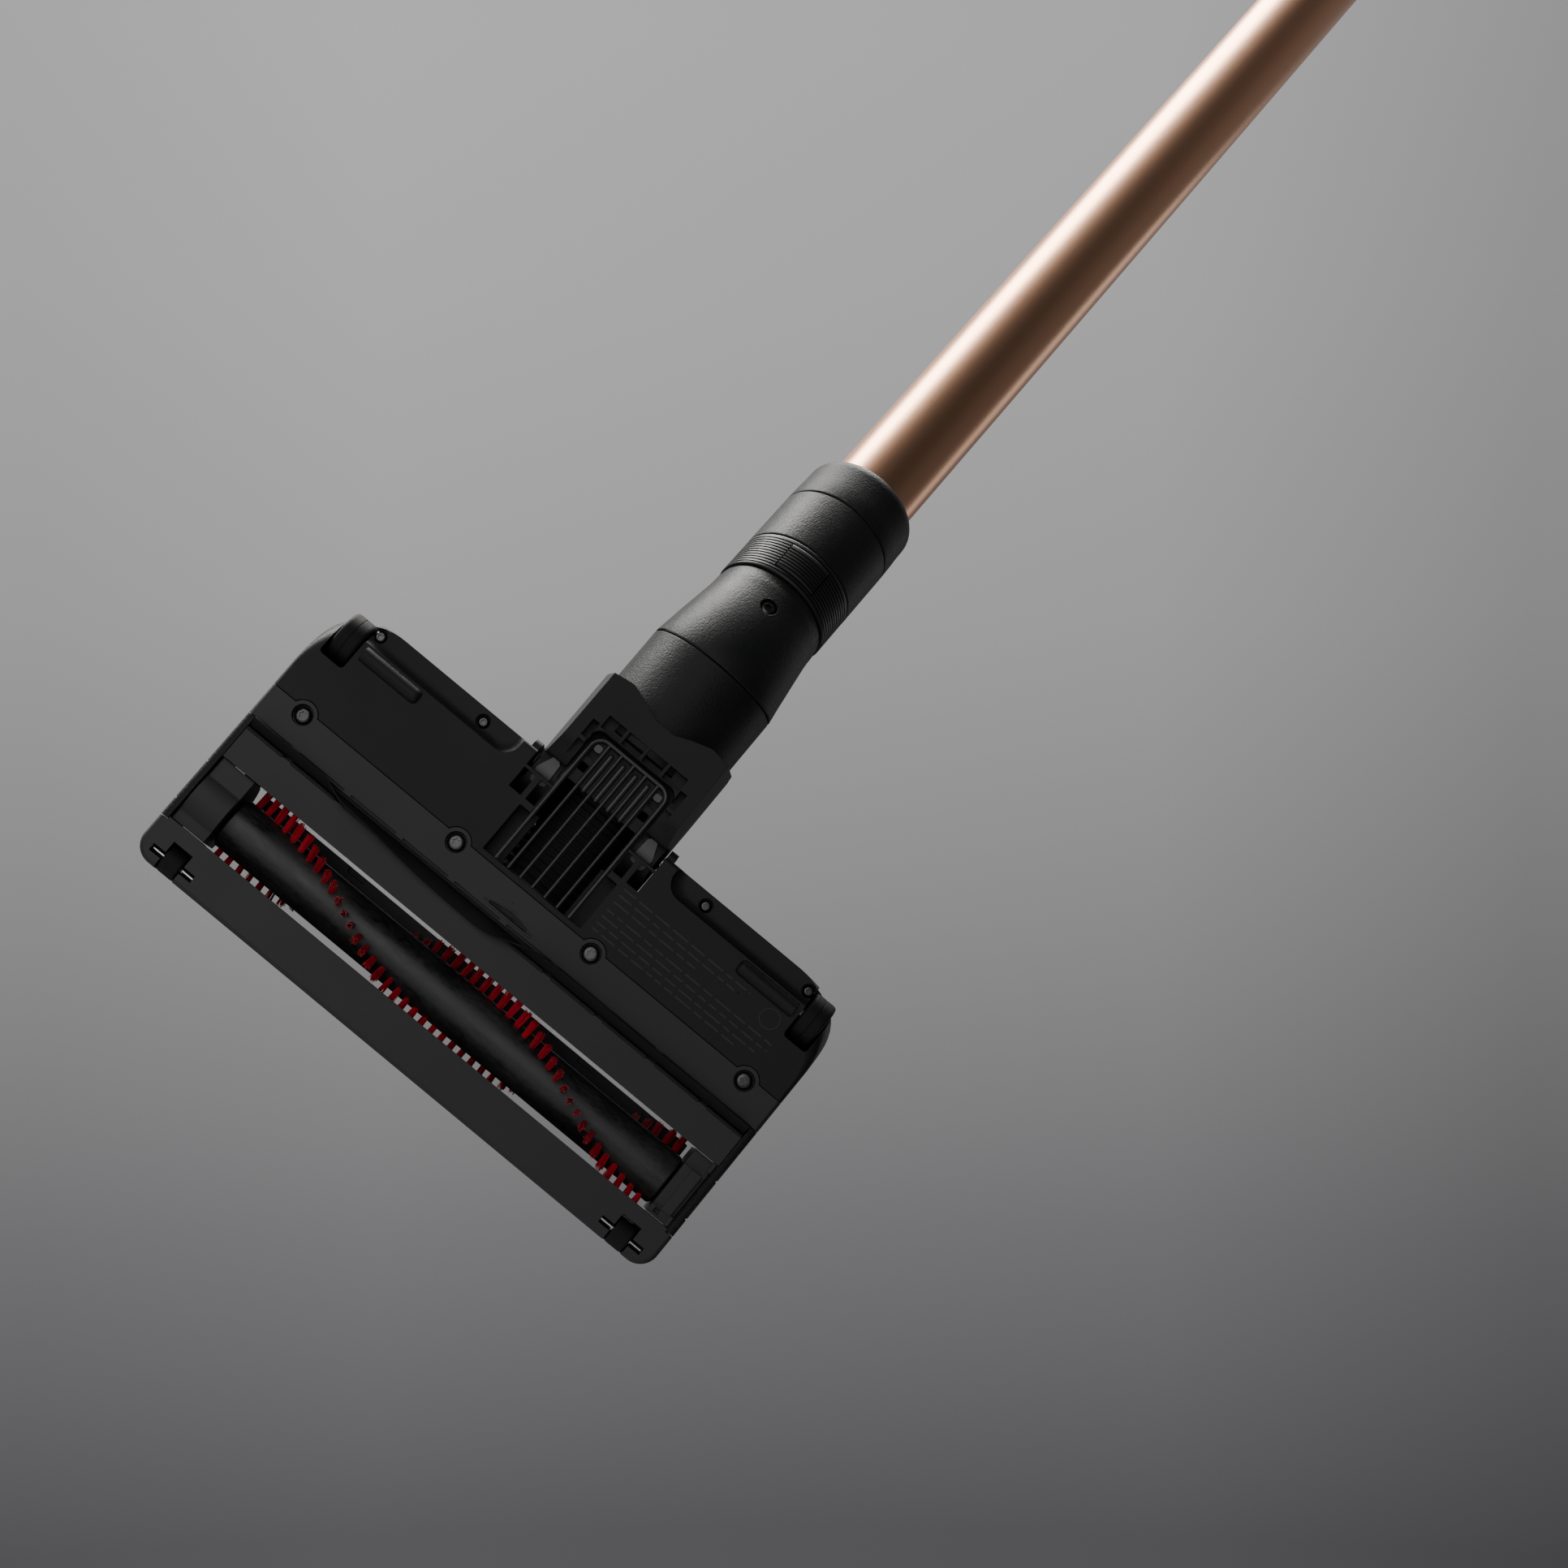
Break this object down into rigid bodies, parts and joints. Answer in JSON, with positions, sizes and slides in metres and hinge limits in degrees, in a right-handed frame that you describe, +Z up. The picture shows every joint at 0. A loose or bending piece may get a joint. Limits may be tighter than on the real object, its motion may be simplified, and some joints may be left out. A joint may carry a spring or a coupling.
{
  "type": "cordless stick vacuum",
  "caption": "Upright cordless vacuum: motorised floor head with bristle roller, pivoting neck, metal wand, and handheld unit with clear dust cup and battery.",
  "frame": {"origin": "centre of the battery's flat back face, where the wall dock holds it", "axes": "+Z up along the wand, +Y out of the battery's back towards the wall, X across the floor head"},
  "size_m": [0.245, 0.2475, 1.1494],
  "materials": {
    "black_plastic": "fine moulded texture, satin",
    "gloss_plastic": "smooth, slightly scuffed",
    "rubber": "matte",
    "red_bristle": "nylon bristle",
    "copper_tube": "satin anodised",
    "steel": "bright",
    "motor_metal": "cast",
    "smoked_clear": "clear, smoked",
    "filter_foam": "felt"
  },
  "bodies": {
    "handheld": {"elbow": "black_plastic", "ribbed_ring": "black_plastic", "wand_collar": "black_plastic", "end_collar": "black_plastic", "wand_tube": "copper_tube", "wire_channel": "black_plastic", "upper_collar": "black_plastic", "body_spine": "black_plastic", "dust_cup": "smoked_clear", "cyclone_shroud": "steel", "pre_filter": "filter_foam", "motor_housing": "black_plastic", "main_motor": "motor_metal", "exhaust_grille": "black_plastic", "handle": "black_plastic", "battery": "black_plastic"},
    "neck": {"neck_shell": "black_plastic", "swivel_sleeve": "black_plastic"},
    "head": {"roller_window": "smoked_clear", "top_shell": "black_plastic", "side_panel_left": "gloss_plastic", "side_panel_right": "gloss_plastic", "sole_plate": "black_plastic", "head_base": "black_plastic", "end_cap_left": "black_plastic", "end_cap_right": "black_plastic", "chamber_rib": "black_plastic", "lip_seal": "rubber", "drive_motor": "motor_metal", "drive_belt": "rubber", "suction_duct": "black_plastic", "bellows_hose": "rubber", "throat_grille": "black_plastic", "sole_screw_1": "steel", "sole_screw_2": "steel", "sole_screw_3": "steel", "sole_screw_4": "steel", "hinge_pin_left": "steel", "hinge_pin_right": "steel", "front_pin_left": "steel", "front_pin_right": "steel", "rear_axle_left": "steel", "rear_axle_right": "steel"},
    "brush": {"brush_core": "gloss_plastic", "bristle_row_1": "red_bristle", "bristle_row_2": "red_bristle", "roller_pulley": "gloss_plastic"},
    "motor_pulley": {"motor_pulley": "steel"},
    "front_wheel_left": {"front_wheel_left": "rubber"},
    "front_wheel_right": {"front_wheel_right": "rubber"},
    "rear_wheel_left": {"rear_wheel_left": "rubber"},
    "rear_wheel_right": {"rear_wheel_right": "rubber"},
    "head_release_button": {"head_release_button": "black_plastic"},
    "wand_release_button": {"wand_release_button": "gloss_plastic"},
    "cup_door": {"cup_door": "smoked_clear"},
    "door_latch": {"door_latch": "gloss_plastic"},
    "impeller": {"impeller": "motor_metal"},
    "trigger": {"trigger": "gloss_plastic"},
    "mode_button": {"mode_button": "gloss_plastic"},
    "battery_latch": {"battery_latch": "gloss_plastic"}
  },
  "joints": [
    {"name": "neck_swivel", "type": "hinge", "parent": "handheld", "child": "neck", "pos_m": [0, -0.126, -0.734], "axis": [0, 0.3584, 0.9336], "range_deg": [-90, 90]},
    {"name": "neck_pitch", "type": "hinge", "parent": "neck", "child": "head", "pos_m": [0, -0.15395, -0.80682], "axis": [-1, 0, 0], "range_deg": [0, 85], "deforming": ["bellows_hose"]},
    {"name": "brush_spin", "type": "hinge", "parent": "head", "child": "brush", "pos_m": [0, -0.18872, -0.89106], "axis": [1, 0, 0], "continuous": true},
    {"name": "motor_pulley_spin", "type": "hinge", "parent": "head", "child": "motor_pulley", "pos_m": [0.1075, -0.17713, -0.84904], "axis": [1, 0, 0], "continuous": true},
    {"name": "front_wheel_left_spin", "type": "hinge", "parent": "head", "child": "front_wheel_left", "pos_m": [0.1072, -0.18727, -0.91951], "axis": [1, 0, 0], "continuous": true},
    {"name": "front_wheel_right_spin", "type": "hinge", "parent": "head", "child": "front_wheel_right", "pos_m": [-0.1072, -0.18727, -0.91951], "axis": [1, 0, 0], "continuous": true},
    {"name": "rear_wheel_left_spin", "type": "hinge", "parent": "head", "child": "rear_wheel_left", "pos_m": [0.1122, -0.14826, -0.82107], "axis": [1, 0, 0], "continuous": true},
    {"name": "rear_wheel_right_spin", "type": "hinge", "parent": "head", "child": "rear_wheel_right", "pos_m": [-0.1122, -0.14826, -0.82107], "axis": [1, 0, 0], "continuous": true},
    {"name": "head_release_press", "type": "slide", "parent": "handheld", "child": "head_release_button", "axis": [0, -1, 0], "range_m": [0, 0.002], "stiffness_N_per_m": 400},
    {"name": "wand_release_press", "type": "slide", "parent": "handheld", "child": "wand_release_button", "axis": [0, 1, 0], "range_m": [0, 0.0018], "stiffness_N_per_m": 400},
    {"name": "cup_door_swing", "type": "hinge", "parent": "handheld", "child": "cup_door", "pos_m": [0, -0.2445, -0.0143], "axis": [-1, 0, 0], "range_deg": [0, 85]},
    {"name": "door_latch_slide", "type": "slide", "parent": "handheld", "child": "door_latch", "axis": [0, 0, -1], "range_m": [0, 0.004], "stiffness_N_per_m": 400},
    {"name": "impeller_spin", "type": "hinge", "parent": "handheld", "child": "impeller", "pos_m": [0, -0.188, 0.159], "axis": [0, 0, 1], "continuous": true},
    {"name": "trigger_pull", "type": "slide", "parent": "handheld", "child": "trigger", "axis": [0, 1, 0], "range_m": [0, 0.005], "stiffness_N_per_m": 400},
    {"name": "mode_button_press", "type": "slide", "parent": "handheld", "child": "mode_button", "axis": [0, 0, -1], "range_m": [0, 0.0012], "stiffness_N_per_m": 400},
    {"name": "battery_latch_press", "type": "slide", "parent": "handheld", "child": "battery_latch", "axis": [0, 0, 1], "range_m": [0, 0.002], "stiffness_N_per_m": 400}
  ],
  "couplings": [
    {"joint": "motor_pulley_spin", "follows": "brush_spin", "ratio": 1.3333}
  ]
}
